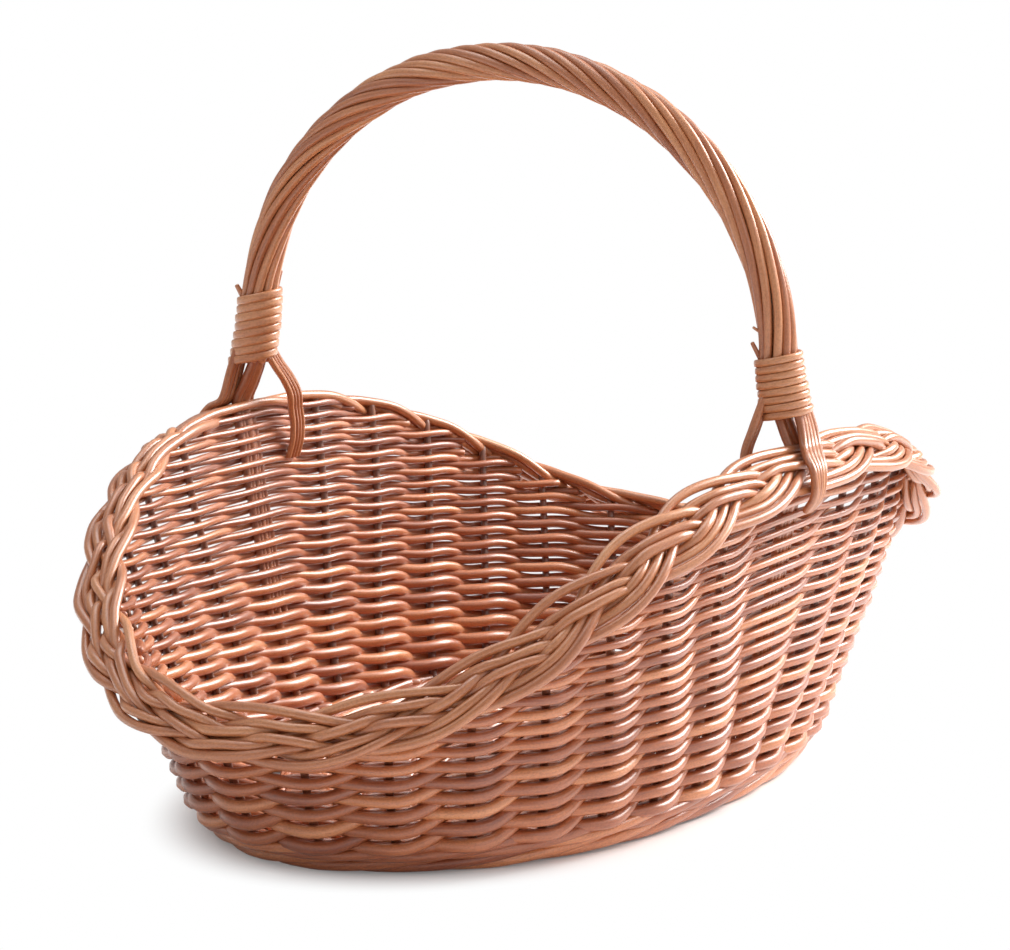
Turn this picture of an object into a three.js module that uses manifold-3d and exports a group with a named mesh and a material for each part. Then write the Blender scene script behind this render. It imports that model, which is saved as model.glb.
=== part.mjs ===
// Oval wicker basket with a saddle-shaped rim and a fixed roped handle, in millimetres, +Z up.
// The long axis of the oval runs along X and the handle stands across it, in the YZ plane.
import * as THREE from "three";
import { LoftGeometry } from "three/addons/geometries/LoftGeometry.js";
import { mergeVertices } from "three/addons/utils/BufferGeometryUtils.js";
import Module from "manifold-3d";

const manifold = await Module();
manifold.setup();

// Clearances between neighbouring pieces
const fitClearance = 0.3;
const weaveClearance = 0.8;
const ropeClearance = 0.4;
const rowGap = 0.5;

// Oval wall: half sizes of the stake ring where it leaves the floor, and how it flares
const baseHalfLength = 164;
const baseHalfWidth = 104;
const ovalSquareness = 2.15;
const endFlare = 60;
const sideFlare = 30;
const endFlarePower = 0.42;
const sideFlarePower = 0.6;
const flareHeight = 92;
const flareStart = 4;

// The oval's corners get squarer towards the rim, most of all the far right one
const rimSquareness = 0.55;
const squareStartHeight = 20;
const squareEndHeight = 130;
const squarestCorner = THREE.MathUtils.degToRad(-40);
const cornerLean = 0.2;
const rimCornerLean = 0.1;

// Rim line: high at the two handle feet, low at the two ends
const rimMeanHeight = 116.5;
const rimSaddleHeight = 42.5;
const rimTiltHeight = 6;
const rimShoulderHeight = 5;

// Base mat and its sticks
const matBottom = 2;
const matCover = 0.6;
const crossStickRadius = 3.6;
const crossStickPlaces = [-1.5, -0.5, 0.5, 1.5];
const longStickRadius = 2.2;
const longStickCount = 3;
const longStickPitch = 2 * longStickRadius + weaveClearance;
const stickEndInset = 2;
const channelOverrun = 3;
const matThickness = 2 * (crossStickRadius + fitClearance + matCover);
const matRidgePitch = 7.2;
const matRidgeRise = 1.7;
const matMiddleHalfWidth = 9;
const matMiddleRise = 0.5;
const stickHeight = matBottom + matThickness / 2;
const footCorners = 44;

// Foot wale: the thick ring of weave that joins base and wall, flat underneath
const waleLip = 2.5;
const waleInnerReach = 5;
const waleOuterReach = 4;
const waleCrown = 7;
const waleHeight = matBottom + matThickness + waleLip;

// Side stakes, with the two handle feet taking the place of one stake each
const spacingsPerSide = 15;
const stakeCount = 2 * spacingsPerSide;
const stakeRadius = 2.3;
const stakeFootLength = 20;
const stakeSides = 5;

// Wall weave
const bandCount = 7;
const bandThickness = 2.4;
const bandsBesideBowBend = 2;

// Plaited border
const strandCount = 3;
const plaitRepeats = 10;
const strandSpacings = stakeCount / plaitRepeats;
const strandHalfWidth = 4.6;
const strandHalfThickness = 2.5;
const strandSides = 5;
const crossingClearance = 0.9;
const plaitHalfSpread = 10.5;
const plaitHalfLift = strandHalfThickness + crossingClearance;
const plaitOut = 8;
const plaitDrop = 3;
const plaitTilt = THREE.MathUtils.degToRad(36);
const plaitPhase = THREE.MathUtils.degToRad(-90);

// Handle
const limbInset = 9;
const limbStraightLength = 41;
const archRise = 131;
const bowRadius = 4;
const bowSides = 6;
const bowFootHeight = 3;
const bowBendBelowRim = 12;
const bowBendLength = 20;
const ropeCount = 6;
const ropeTurns = 2.3;
const ropeSides = 5;
const ropeHalfThickness = 2.2;

// Bindings of split cane where the rope meets the rim
const bindingThickness = 1.6;
const bindingGroove = 0.6;
const bindingGrooveShare = 0.16;
const bindingWraps = 8;
const bindingSides = 12;
const leftBindingSizes = { aboveRim: 20, length: 38, spread: 0.8 };
const rightBindingSizes = { aboveRim: 17, length: 31, spread: 2.4 };

// Rope ends that leave the binding and are tucked into the wall
const tailRadius = 2.6;
const tailSpread = 13;
const tailDrop = 40;

// Willow colours
const wallWillow = new THREE.MeshStandardMaterial({ color: 0xb57a4b, roughness: 0.55, metalness: 0 });
const stakeWillow = new THREE.MeshStandardMaterial({ color: 0x9c633a, roughness: 0.6, metalness: 0 });
const rodWillow = new THREE.MeshStandardMaterial({ color: 0xc08a58, roughness: 0.5, metalness: 0 });
const splitCane = new THREE.MeshStandardMaterial({ color: 0xc48f5e, roughness: 0.5, metalness: 0 });

const lengthwise = new THREE.Vector3(1, 0, 0);
const crosswise = new THREE.Vector3(0, 1, 0);
const up = new THREE.Vector3(0, 0, 1);
const quarterTurn = Math.PI / 2;

// Wall surface

function signedPower(value, power) {
  return Math.sign(value) * Math.abs(value) ** power;
}

function squareness(angle, height) {
  const rise = THREE.MathUtils.smoothstep(height, squareStartHeight, squareEndHeight);
  const lean = cornerLean + rimCornerLean * rise;
  return ovalSquareness + rimSquareness * rise + lean * Math.cos(angle - squarestCorner);
}

function wallPoint(angle, height) {
  const rise = Math.max(height + flareStart, 0) / flareHeight;
  const halfLength = baseHalfLength + endFlare * rise ** endFlarePower;
  const halfWidth = baseHalfWidth + sideFlare * rise ** sideFlarePower;
  const power = 2 / squareness(angle, height);
  return new THREE.Vector3(
    halfLength * signedPower(Math.cos(angle), power),
    halfWidth * signedPower(Math.sin(angle), power),
    height,
  );
}

function wallOutward(angle, height) {
  const step = 0.02;
  const ahead = wallPoint(angle + step, height);
  const behind = wallPoint(angle - step, height);
  return new THREE.Vector3(ahead.y - behind.y, behind.x - ahead.x, 0).normalize();
}

// A point a given distance from the wall surface, moved level so that its height stays exact
function wallOffset(angle, height, distance) {
  const step = 0.5;
  const outward = wallOutward(angle, height);
  const rise = wallPoint(angle, height + step).sub(wallPoint(angle, height - step));
  const lean = rise.dot(outward) / rise.z;
  return wallPoint(angle, height).addScaledVector(outward, distance * Math.hypot(1, lean));
}

function rimHeight(angle) {
  return rimMeanHeight - rimSaddleHeight * Math.cos(2 * angle) + rimTiltHeight * Math.cos(angle)
    + rimShoulderHeight * Math.cos(4 * angle);
}

// Oval angle of a place counted in stake spacings from the left handle foot, equal along each half
// of the wall between the two handle feet
const spacingTable = (() => {
  const samples = 720;
  const table = [{ angle: quarterTurn, length: 0 }];
  for (let i = 1; i <= samples; i += 1) {
    const angle = quarterTurn + (i / samples) * 2 * Math.PI;
    const previous = table[i - 1];
    const stride = wallPoint(angle, waleHeight).distanceTo(wallPoint(previous.angle, waleHeight));
    table.push({ angle, length: previous.length + stride });
  }
  const nearHalf = table[samples / 2].length;
  const farHalf = table[samples].length - nearHalf;
  return table.map(({ angle, length }) => {
    const share = length <= nearHalf ? length / nearHalf : 1 + (length - nearHalf) / farHalf;
    return { angle, place: spacingsPerSide * share };
  });
})();

function stakeAngle(place) {
  const turns = Math.floor(place / stakeCount);
  const wanted = place - turns * stakeCount;
  const index = Math.max(1, spacingTable.findIndex((entry) => entry.place >= wanted));
  const before = spacingTable[index - 1];
  const after = spacingTable[index];
  const share = (wanted - before.place) / (after.place - before.place);
  return THREE.MathUtils.lerp(before.angle, after.angle, share) + turns * 2 * Math.PI;
}

// The two handle feet stand in the high sides of the wall, a little inside the rim line
const footRim = rimHeight(quarterTurn);
const limbHalfSpacing = wallPoint(quarterTurn, footRim).y - limbInset;
const archFootHeight = footRim + limbStraightLength;
const rightFootPlace = spacingsPerSide;
const allPlaces = Array.from({ length: stakeCount }, (_, i) => i);
const stakePlaces = allPlaces.filter((place) => place !== 0 && place !== rightFootPlace);

// Lofted solids

function merged(geometry) {
  const bare = new THREE.BufferGeometry();
  bare.setAttribute("position", geometry.attributes.position);
  bare.setIndex(geometry.index);
  return mergeVertices(bare, 1e-4);
}

// True where a section's corners turn the way that faces the loft's surface outwards
function windsOutward(section, next) {
  const normal = new THREE.Vector3();
  const travel = new THREE.Vector3();
  section.forEach((corner, i) => {
    const following = section[(i + 1) % section.length];
    normal.add(corner.clone().sub(section[0]).cross(following.clone().sub(section[0])));
    travel.add(next[i]).sub(corner);
  });
  return normal.dot(travel) > 0;
}

function closedLoft(sections, isRing) {
  const ordered = windsOutward(sections[0], sections[1])
    ? sections
    : sections.map((section) => section.slice().reverse());
  const rows = isRing ? [...ordered, ordered[0]] : ordered;
  return merged(new LoftGeometry(rows, { capStart: !isRing, capEnd: !isRing }));
}

// An ellipse of corner points round a centre, in the plane of two unit axes
function ellipse(centre, wideAxis, thickAxis, halfWidth, halfThickness, sides) {
  return Array.from({ length: sides }, (_, i) => {
    const turn = ((i + 0.5) / sides) * 2 * Math.PI;
    return centre.clone()
      .addScaledVector(wideAxis, halfWidth * Math.cos(turn))
      .addScaledVector(thickAxis, halfThickness * Math.sin(turn));
  });
}

// A round rod through points that lie in one upright plane, whose level normal is given
function rod(points, planeNormal, radius, sides) {
  const sections = points.map((point, i) => {
    const before = points[Math.max(i - 1, 0)];
    const after = points[Math.min(i + 1, points.length - 1)];
    const along = after.clone().sub(before).normalize();
    const across = along.clone().cross(planeNormal).normalize();
    return ellipse(point, planeNormal, across, radius, radius, sides);
  });
  return closedLoft(sections, false);
}

function solidOf(geometry) {
  return new manifold.Manifold(new manifold.Mesh({
    numProp: 3,
    vertProperties: new Float32Array(geometry.attributes.position.array),
    triVerts: new Uint32Array(geometry.index.array),
  }));
}

function geometryOf(solid) {
  const mesh = solid.getMesh();
  const geometry = new THREE.BufferGeometry();
  geometry.setAttribute("position", new THREE.BufferAttribute(mesh.vertProperties, 3));
  geometry.setIndex(new THREE.BufferAttribute(mesh.triVerts, 1));
  return geometry;
}

const basket = new THREE.Group();

function addPiece(name, geometry, material) {
  const piece = new THREE.Mesh(geometry, material);
  piece.name = name;
  basket.add(piece);
}

const twoDigits = (number) => String(number).padStart(2, "0");

// Side stakes: a level foot pushed into the base, a bend at the floor, then up the wall to the plait

function stakeTop(angle) {
  const innerEdge = plaitHalfSpread * Math.sin(plaitTilt) - plaitDrop;
  const underside = innerEdge - strandHalfThickness / Math.cos(plaitTilt);
  return rimHeight(angle) + underside - stakeRadius * Math.tan(plaitTilt) - fitClearance;
}

function stakePath(angle, footStretch) {
  const outward = wallOutward(angle, 0);
  const footEnd = wallPoint(angle, 0).addScaledVector(outward, -stakeFootLength - footStretch);
  const bend = wallPoint(angle, stickHeight).addScaledVector(outward, -stakeRadius);
  const points = [footEnd.setZ(stickHeight), bend];
  const upright = [0, 0.12, 0.3, 0.48, 0.66, 0.83, 1];
  upright.forEach((share) => {
    const height = THREE.MathUtils.lerp(waleHeight + rowGap, stakeTop(angle), share);
    points.push(wallPoint(angle, height));
  });
  return points;
}

function stakeRod(place, extra) {
  const angle = stakeAngle(place);
  const outward = wallOutward(angle, waleHeight);
  const planeNormal = new THREE.Vector3(-outward.y, outward.x, 0);
  return rod(stakePath(angle, extra), planeNormal, stakeRadius + extra, stakeSides);
}

function addStakes() {
  stakePlaces.forEach((place) => {
    addPiece(`side_stake_${twoDigits(place)}`, stakeRod(place, 0), stakeWillow);
  });
}

// Handle bow: one thick rod whose ends stand in the wall like stakes

const bowBendHigh = footRim - bowBendBelowRim;
const bowBendLow = bowBendHigh - bowBendLength;

function bowPoint(side, height) {
  const inWall = wallPoint(side * quarterTurn, Math.min(height, bowBendLow)).y;
  const limb = side * limbHalfSpacing;
  const share = THREE.MathUtils.smoothstep(height, bowBendLow, bowBendHigh);
  return new THREE.Vector3(0, THREE.MathUtils.lerp(inWall, limb, share), height);
}

function bowPoints(extra) {
  const heights = (from, to, shares) => shares.map((share) => THREE.MathUtils.lerp(from, to, share));
  const legHeights = [
    ...heights(bowFootHeight - extra, bowBendLow, [0, 0.07, 0.2, 0.45, 0.7, 1]),
    ...heights(bowBendLow, bowBendHigh, [0.5, 1]),
    ...heights(bowBendHigh, archFootHeight, [0.34, 0.67]),
  ];
  const points = legHeights.map((height) => bowPoint(1, height));
  const archSteps = 26;
  for (let i = 0; i <= archSteps; i += 1) {
    const turn = (i / archSteps) * Math.PI;
    points.push(new THREE.Vector3(
      0,
      limbHalfSpacing * Math.cos(turn),
      archFootHeight + archRise * Math.sin(turn),
    ));
  }
  legHeights.slice().reverse().forEach((height) => points.push(bowPoint(-1, height)));
  return points;
}

function bowRod(extra) {
  return rod(bowPoints(extra), lengthwise, bowRadius + extra, bowSides);
}

// Rope rods: laid side by side round the bow, turning as they go over the arch

const ropePathRadius = bowRadius + ropeClearance + ropeHalfThickness;
const ropeOuterRadius = ropePathRadius + ropeHalfThickness;
const ropeHalfWidth = (Math.PI * ropePathRadius) / ropeCount - ropeClearance;

function bindingSpan({ aboveRim, length, spread }) {
  return { bottom: footRim + aboveRim, top: footRim + aboveRim + length, spread };
}

const leftBinding = bindingSpan(leftBindingSizes);
const rightBinding = bindingSpan(rightBindingSizes);

// Frame at a share of the way over the handle, from the left binding's bottom to the right one's
function handleFrame(share) {
  const leftLimb = archFootHeight - leftBinding.bottom;
  const rightLimb = archFootHeight - rightBinding.bottom;
  const archLength = (Math.PI / 2) * (limbHalfSpacing + archRise);
  const distance = share * (leftLimb + archLength + rightLimb);
  if (distance < leftLimb) {
    const height = leftBinding.bottom + distance;
    return { centre: new THREE.Vector3(0, limbHalfSpacing, height), inward: new THREE.Vector3(0, -1, 0) };
  }
  if (distance > leftLimb + archLength) {
    const height = archFootHeight - (distance - leftLimb - archLength);
    return { centre: new THREE.Vector3(0, -limbHalfSpacing, height), inward: new THREE.Vector3(0, 1, 0) };
  }
  const turn = ((distance - leftLimb) / archLength) * Math.PI;
  const cosine = Math.cos(turn);
  const sine = Math.sin(turn);
  return {
    centre: new THREE.Vector3(0, limbHalfSpacing * cosine, archFootHeight + archRise * sine),
    inward: new THREE.Vector3(0, -cosine / limbHalfSpacing, -sine / archRise).normalize(),
  };
}

function ropeRod(number) {
  const steps = 30;
  const sections = [];
  for (let i = 0; i <= steps; i += 1) {
    const share = i / steps;
    const { centre, inward } = handleFrame(share);
    const turn = 2 * Math.PI * (number / ropeCount - ropeTurns * share);
    const radial = lengthwise.clone().multiplyScalar(Math.cos(turn)).addScaledVector(inward, Math.sin(turn));
    const around = lengthwise.clone().multiplyScalar(-Math.sin(turn)).addScaledVector(inward, Math.cos(turn));
    const middle = centre.clone().addScaledVector(radial, ropePathRadius);
    sections.push(ellipse(middle, around, radial, ropeHalfWidth, ropeHalfThickness, ropeSides));
  }
  return closedLoft(sections, false);
}

function addHandle() {
  addPiece("handle_bow", bowRod(0), rodWillow);
  for (let number = 0; number < ropeCount; number += 1) {
    addPiece(`handle_rope_rod_${number + 1}`, ropeRod(number), rodWillow);
  }
}

// Bindings: flat cane wound tightly round the rope just above the plait, a ridge for each wrap

function limbSpacing(height) {
  const rise = Math.max(height - archFootHeight, 0) / archRise;
  return limbHalfSpacing * Math.sqrt(1 - rise ** 2);
}

function bindingRing(side, binding, height, thickness) {
  const share = (height - binding.bottom) / (binding.top - binding.bottom);
  const tightRadius = (ropeOuterRadius + ropeClearance) / Math.cos(Math.PI / bindingSides);
  const radius = tightRadius + binding.spread * (1 - share) + thickness;
  const centre = new THREE.Vector3(0, side * limbSpacing(height), height);
  return ellipse(centre, lengthwise, crosswise, radius, radius, bindingSides);
}

function bindingWinding(side, binding) {
  const pitch = (binding.top - binding.bottom) / bindingWraps;
  const groove = bindingGrooveShare * pitch;
  const rings = [];
  for (let wrap = 0; wrap < bindingWraps; wrap += 1) {
    const low = binding.bottom + wrap * pitch;
    rings.push(bindingRing(side, binding, low, bindingThickness - bindingGroove));
    rings.push(bindingRing(side, binding, low + groove, bindingThickness));
    rings.push(bindingRing(side, binding, low + pitch - groove, bindingThickness));
  }
  rings.push(bindingRing(side, binding, binding.top, bindingThickness - bindingGroove));
  rings.push(bindingRing(side, binding, binding.top, 0));
  rings.push(bindingRing(side, binding, binding.bottom, 0));
  return closedLoft(rings, true);
}

function addBindings() {
  addPiece("handle_binding_left", bindingWinding(1, leftBinding), splitCane);
  addPiece("handle_binding_right", bindingWinding(-1, rightBinding), splitCane);
}

// Plaited border: three strands that cross over and under each other all the way round

function plaitFrame(place) {
  const angle = stakeAngle(place);
  const height = rimHeight(angle);
  const outward = wallOutward(angle, height);
  const centre = wallPoint(angle, height).addScaledVector(outward, plaitOut);
  centre.z -= plaitDrop;
  const cosine = Math.cos(plaitTilt);
  const sine = Math.sin(plaitTilt);
  const across = outward.clone().multiplyScalar(cosine).addScaledVector(up, -sine);
  const lift = outward.clone().multiplyScalar(sine).addScaledVector(up, cosine);
  return { centre, across, lift };
}

function plaitStrand(number) {
  const stepsPerSpacing = 4;
  const steps = stakeCount * stepsPerSpacing;
  const sections = [];
  for (let i = 0; i < steps; i += 1) {
    const place = i / stepsPerSpacing;
    const { centre, across, lift } = plaitFrame(place);
    const phase = 2 * Math.PI * (place / strandSpacings + number / strandCount) + plaitPhase;
    const middle = centre.clone()
      .addScaledVector(across, plaitHalfSpread * Math.sin(phase))
      .addScaledVector(lift, -plaitHalfLift * Math.sin(2 * phase));
    sections.push(ellipse(middle, across, lift, strandHalfWidth, strandHalfThickness, strandSides));
  }
  return closedLoft(sections, true);
}

function addBorder() {
  for (let number = 0; number < strandCount; number += 1) {
    addPiece(`border_plait_strand_${number + 1}`, plaitStrand(number), rodWillow);
  }
}

// Wall weave: bands that pass outside one stake and inside the next, the next band the other way

function wallTop(angle) {
  const outerFace = stakeRadius + weaveClearance + bandThickness;
  const plaitDepth = (plaitHalfLift + strandHalfThickness) / Math.cos(plaitTilt);
  const plaitMiddle = rimHeight(angle) - plaitDrop + (plaitOut - outerFace) * Math.tan(plaitTilt);
  return plaitMiddle - plaitDepth - rowGap;
}

function weaveBand(number) {
  const stepsPerSpacing = 2;
  const steps = stakeCount * stepsPerSpacing;
  const sections = [];
  for (let i = 0; i < steps; i += 1) {
    const place = i / stepsPerSpacing;
    const angle = stakeAngle(place);
    const atBow = place === 0 || place === rightFootPlace;
    const reach = (atBow ? bowRadius : stakeRadius) + weaveClearance + bandThickness / 2;
    const staysOutside = atBow && number >= bandCount - bandsBesideBowBend;
    const middle = staysOutside ? reach : reach * Math.cos(Math.PI * (place + number));
    const lower = THREE.MathUtils.lerp(waleHeight, wallTop(angle), number / bandCount) + rowGap / 2;
    const upper = THREE.MathUtils.lerp(waleHeight, wallTop(angle), (number + 1) / bandCount) - rowGap / 2;
    sections.push([
      wallOffset(angle, lower, middle - bandThickness / 2),
      wallOffset(angle, lower, middle + bandThickness / 2),
      wallOffset(angle, upper, middle + bandThickness / 2),
      wallOffset(angle, upper, middle - bandThickness / 2),
    ]);
  }
  return closedLoft(sections, true);
}

function addWallWeave() {
  for (let number = 0; number < bandCount; number += 1) {
    addPiece(`wall_weave_band_${number + 1}`, weaveBand(number), wallWillow);
  }
}

// Rope tails: rod ends that leave a binding and are tucked against the wall, two of them over the plait

function outerTailPoints(side, shift) {
  const foot = side > 0 ? 0 : rightFootPlace;
  const { centre, across, lift } = plaitFrame(foot);
  const over = plaitHalfLift + strandHalfThickness + tailRadius + weaveClearance;
  const past = plaitHalfSpread + strandHalfWidth + tailRadius + weaveClearance;
  const onPlait = (sideways, above) => centre.clone().addScaledVector(across, sideways)
    .addScaledVector(lift, above).setX(shift);
  return [
    onPlait(-plaitHalfSpread, over),
    onPlait(0, over),
    onPlait(plaitHalfSpread, over),
    onPlait(past, 0),
  ];
}

function tailPoints(side, direction, isOutside, binding) {
  const startShift = direction * (bowRadius + tailRadius + weaveClearance);
  const shift = direction * tailSpread;
  const angle = side * quarterTurn;
  const face = stakeRadius + weaveClearance + bandThickness + tailRadius + fitClearance;
  const tuckHeight = rimHeight(angle) - tailDrop;
  const tuck = wallOffset(angle, tuckHeight, isOutside ? face : -face).setX(shift);
  const startHeight = binding.bottom - tailRadius - fitClearance;
  const start = new THREE.Vector3(startShift, side * limbHalfSpacing, startHeight);
  if (isOutside) return [start, ...outerTailPoints(side, shift), tuck];
  const besidePlait = plaitFrame(side > 0 ? 0 : rightFootPlace).centre;
  const inset = (plaitHalfSpread + strandHalfWidth) * Math.cos(plaitTilt) + tailRadius + weaveClearance;
  const inside = besidePlait.clone().setX(shift).setY(besidePlait.y - side * inset);
  return [start, inside, tuck];
}

function tailRod(side, direction, isOutside, binding) {
  const section = new THREE.Shape();
  section.absarc(0, 0, tailRadius, 0, 2 * Math.PI);
  const path = new THREE.CatmullRomCurve3(tailPoints(side, direction, isOutside, binding));
  const steps = isOutside ? 14 : 8;
  const options = { steps, curveSegments: 3, bevelEnabled: false, extrudePath: path };
  return merged(new THREE.ExtrudeGeometry(section, options));
}

function addTails() {
  addPiece("rope_tail_left_outer", tailRod(1, -1, true, leftBinding), rodWillow);
  addPiece("rope_tail_left_inner", tailRod(1, 1, false, leftBinding), rodWillow);
  addPiece("rope_tail_right_outer", tailRod(-1, 1, true, rightBinding), rodWillow);
  addPiece("rope_tail_right_inner", tailRod(-1, -1, false, rightBinding), rodWillow);
}

// Base: split cross sticks with the long sticks threaded through them, woven into one mat

function matEdge(angle) {
  return wallPoint(angle, 0).addScaledVector(wallOutward(angle, 0), -waleInnerReach - fitClearance);
}

function stickAlong(from, to, radius) {
  const length = from.distanceTo(to);
  const geometry = new THREE.CylinderGeometry(radius, radius, length, 8);
  const along = to.clone().sub(from).normalize();
  geometry.applyQuaternion(new THREE.Quaternion().setFromUnitVectors(new THREE.Vector3(0, 1, 0), along));
  geometry.translate(...from.clone().add(to).multiplyScalar(0.5).toArray());
  return solidOf(merged(geometry));
}

function crossStick(place, extra, overrun) {
  const edge = matEdge(stakeAngle(place));
  const reach = edge.y - stickEndInset + overrun;
  const from = new THREE.Vector3(edge.x, -reach, stickHeight);
  const to = new THREE.Vector3(edge.x, reach, stickHeight);
  return stickAlong(from, to, crossStickRadius + extra);
}

function longStickY(number) {
  return (number - (longStickCount - 1) / 2) * longStickPitch;
}

function longStick(number, extra, overrun) {
  const reach = matEdge(0).x - stickEndInset + overrun;
  const from = new THREE.Vector3(-reach, longStickY(number), stickHeight);
  const to = new THREE.Vector3(reach, longStickY(number), stickHeight);
  return stickAlong(from, to, longStickRadius + extra);
}

function slit() {
  const width = (longStickCount - 1) * longStickPitch + 2 * (longStickRadius + fitClearance);
  const height = 2 * (longStickRadius + fitClearance);
  return new THREE.BoxGeometry(4 * crossStickRadius, width, height);
}

// One oval of the mat: a ridge rises over every second crossing and dips under the ones between
function matRidge(inset, turn, halfThickness, rise) {
  const halfLength = matEdge(0).x;
  const halfWidth = matEdge(quarterTurn).y;
  return Array.from({ length: footCorners }, (_, i) => {
    const edge = matEdge((i / footCorners) * 2 * Math.PI);
    const isCrossing = i % 2 === 0;
    const wave = isCrossing ? (-1) ** (i / 2 + turn) : 0;
    return new THREE.Vector3(
      (edge.x * (halfLength - inset)) / halfLength,
      (edge.y * (halfWidth - inset)) / halfWidth,
      stickHeight + halfThickness + rise * wave,
    );
  });
}

function ovalMat() {
  const half = matThickness / 2;
  const innerInset = matEdge(quarterTurn).y - matMiddleHalfWidth;
  const ridgeCount = Math.floor(innerInset / matRidgePitch);
  const top = [matRidge(0, 0, half, 0)];
  const bottom = [matRidge(0, 0, -half, 0)];
  for (let ridge = 1; ridge < ridgeCount; ridge += 1) {
    const inset = (ridge * innerInset) / ridgeCount;
    top.unshift(matRidge(inset, ridge, half, matRidgeRise));
    bottom.push(matRidge(inset, ridge, -half, matRidgeRise));
  }
  top.unshift(matRidge(innerInset, 0, half + matMiddleRise, 0));
  bottom.push(matRidge(innerInset, 0, -half - matMiddleRise, 0));
  return solidOf(closedLoft([...top, ...bottom], false));
}

function addBase() {
  let mat = ovalMat();
  crossStickPlaces.forEach((place, i) => {
    const opening = slit();
    opening.translate(matEdge(stakeAngle(place)).x, 0, stickHeight);
    const stick = crossStick(place, 0, 0).subtract(solidOf(merged(opening)));
    addPiece(`base_cross_stick_${i + 1}`, geometryOf(stick), stakeWillow);
    mat = mat.subtract(crossStick(place, fitClearance, channelOverrun));
  });
  for (let number = 0; number < longStickCount; number += 1) {
    addPiece(`base_long_stick_${number + 1}`, geometryOf(longStick(number, 0, 0)), stakeWillow);
    mat = mat.subtract(longStick(number, fitClearance, channelOverrun));
  }
  stakePlaces.forEach((place) => {
    mat = mat.subtract(solidOf(stakeRod(place, fitClearance)));
  });
  addPiece("base_weave_mat", geometryOf(mat), wallWillow);
}

function waleSection(angle) {
  const floor = wallPoint(angle, 0);
  const outward = wallOutward(angle, 0);
  const inner = floor.clone().addScaledVector(outward, -waleInnerReach);
  const bandReach = stakeRadius + weaveClearance + bandThickness;
  return [
    inner,
    floor.clone().addScaledVector(outward, waleOuterReach),
    wallOffset(angle, waleHeight / 2, waleCrown),
    wallOffset(angle, waleHeight, bandReach),
    wallOffset(angle, waleHeight, -bandReach),
    inner.clone().setZ(matBottom + matThickness),
  ];
}

function addFootWale() {
  const sections = [];
  for (let i = 0; i < footCorners; i += 1) {
    sections.push(waleSection((i / footCorners) * 2 * Math.PI));
  }
  let wale = solidOf(closedLoft(sections, true));
  stakePlaces.forEach((place) => {
    wale = wale.subtract(solidOf(stakeRod(place, fitClearance)));
  });
  wale = wale.subtract(solidOf(bowRod(fitClearance)));
  addPiece("foot_wale", geometryOf(wale), wallWillow);
}

addStakes();
addHandle();
addBindings();
addBorder();
addTails();
addWallWeave();
addBase();
addFootWale();

// The origin stands under the middle of the basket, on the surface that it rests on
const extent = new THREE.Box3().setFromObject(basket, true);
const middle = extent.getCenter(new THREE.Vector3());
basket.position.set(-middle.x, -middle.y, -extent.min.z);

export default basket;
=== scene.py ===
import math

import bpy
import numpy as np
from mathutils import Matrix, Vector


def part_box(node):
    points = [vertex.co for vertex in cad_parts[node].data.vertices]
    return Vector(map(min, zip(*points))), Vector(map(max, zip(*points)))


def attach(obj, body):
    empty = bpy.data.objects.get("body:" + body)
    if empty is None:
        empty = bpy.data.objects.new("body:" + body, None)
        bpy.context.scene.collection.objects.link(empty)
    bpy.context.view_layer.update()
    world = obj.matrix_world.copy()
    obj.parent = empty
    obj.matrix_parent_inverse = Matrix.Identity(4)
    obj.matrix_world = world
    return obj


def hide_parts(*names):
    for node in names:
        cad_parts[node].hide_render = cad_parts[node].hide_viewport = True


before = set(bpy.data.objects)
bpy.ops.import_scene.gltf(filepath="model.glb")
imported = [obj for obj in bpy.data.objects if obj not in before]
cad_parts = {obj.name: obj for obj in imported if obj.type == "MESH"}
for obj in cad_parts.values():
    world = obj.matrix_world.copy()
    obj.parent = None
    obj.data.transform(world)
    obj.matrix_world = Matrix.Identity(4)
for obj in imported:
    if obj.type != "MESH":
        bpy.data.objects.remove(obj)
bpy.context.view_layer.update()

BODY = "root"
TURN = 2 * math.pi
UP = np.array([0, 0, 1.0])
LENGTHWISE = np.array([1.0, 0, 0])
RANDOM = np.random.default_rng(7)

# Camera: the photograph's viewing angle, in a frame of 1010 by 950 pixels
IMAGE_WIDTH = 1010
IMAGE_HEIGHT = 950
VIEW_TURN = math.radians(30)
VIEW_DROP = math.radians(10.07)
VIEW_DISTANCE = 1.926
VIEW_HEIGHT = 0.150
FOCAL_PIXELS = 4159
PRINCIPAL_X = 509.8
PRINCIPAL_Y = 460.8
SENSOR_WIDTH = 36.0
CLIP_END = 20

# Light: each soft light's position, size, power in watts and colour, and the white surroundings
LIGHTS = {
    "key_right": ((1.6, -1.03, 1.32), 1.1, 85, (1.0, 0.97, 0.94)),
    "top": ((0.3, 0.4, 2.0), 1.3, 16, (1, 1, 1)),
    "inside_left": ((-0.95, 0.75, 1.65), 0.8, 3, (1, 1, 1)),
    "fill_right": ((-0.3, -2.0, 1.1), 1.4, 6, (1, 1, 1)),
}
LIGHT_AIM = (0, 0, 0.12)
WORLD_STRENGTH = 0.37

# Floor, and its shadow: an oval as wide as the foot, fading out within this many times its size
FLOOR_HALF_SIZE = 6.0
FLOOR_WHITE = 0.94
SHADOW_HALF_LENGTH = 0.178
SHADOW_HALF_WIDTH = 0.118
SHADOW_FADE = 1.24
SHADOW_GLOW = 0.12

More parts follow.
